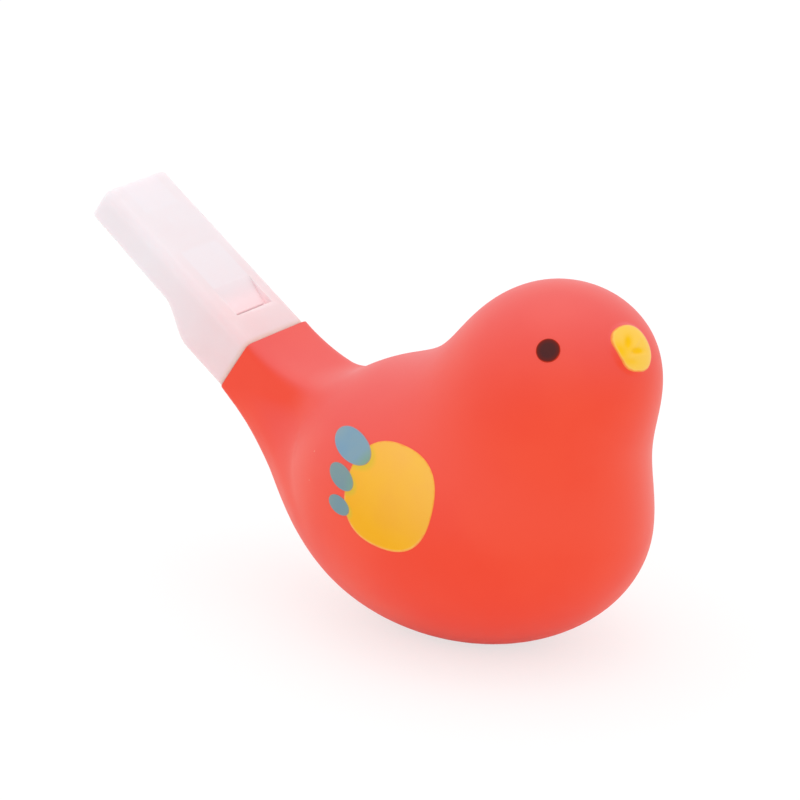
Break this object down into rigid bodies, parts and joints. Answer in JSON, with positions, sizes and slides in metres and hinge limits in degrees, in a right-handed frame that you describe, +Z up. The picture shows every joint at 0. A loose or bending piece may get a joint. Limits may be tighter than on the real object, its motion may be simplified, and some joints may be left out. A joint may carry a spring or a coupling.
{
  "type": "bird whistle",
  "caption": "Hollow bird-shaped water whistle with an upturned tail, a pull-out flat mouthpiece, painted wing patches and eyes, and a small rounded beak.",
  "frame": {"origin": "middle of the flat base, under the middle of the belly", "axes": "+X towards the beak, +Y to the bird's left, +Z up"},
  "size_m": [0.1148, 0.0518, 0.0665],
  "materials": {
    "red_vinyl": "satin",
    "milky_plastic": "translucent satin",
    "white_plastic": "satin",
    "beak_yellow": "satin paint",
    "eye_brown": "gloss paint",
    "wing_yellow": "satin paint",
    "feather_blue": "satin paint"
  },
  "bodies": {
    "bird": {"body_shell": "red_vinyl", "beak_paint": "beak_yellow", "eye_right": "eye_brown", "eye_left": "eye_brown", "wing_patch_right": "wing_yellow", "wing_patch_left": "wing_yellow", "wing_feather_upper_right": "feather_blue", "wing_feather_middle_right": "feather_blue", "wing_feather_lower_right": "feather_blue", "wing_feather_upper_left": "feather_blue", "wing_feather_middle_left": "feather_blue", "wing_feather_lower_left": "feather_blue"},
    "whistle": {"mouthpiece": "milky_plastic", "windway_block": "white_plastic", "resonator_tube": "white_plastic"}
  },
  "joints": [
    {"name": "whistle_pull", "type": "slide", "parent": "bird", "child": "whistle", "axis": [-0.8221, 0, 0.5693], "range_m": [0, 0.054]}
  ]
}
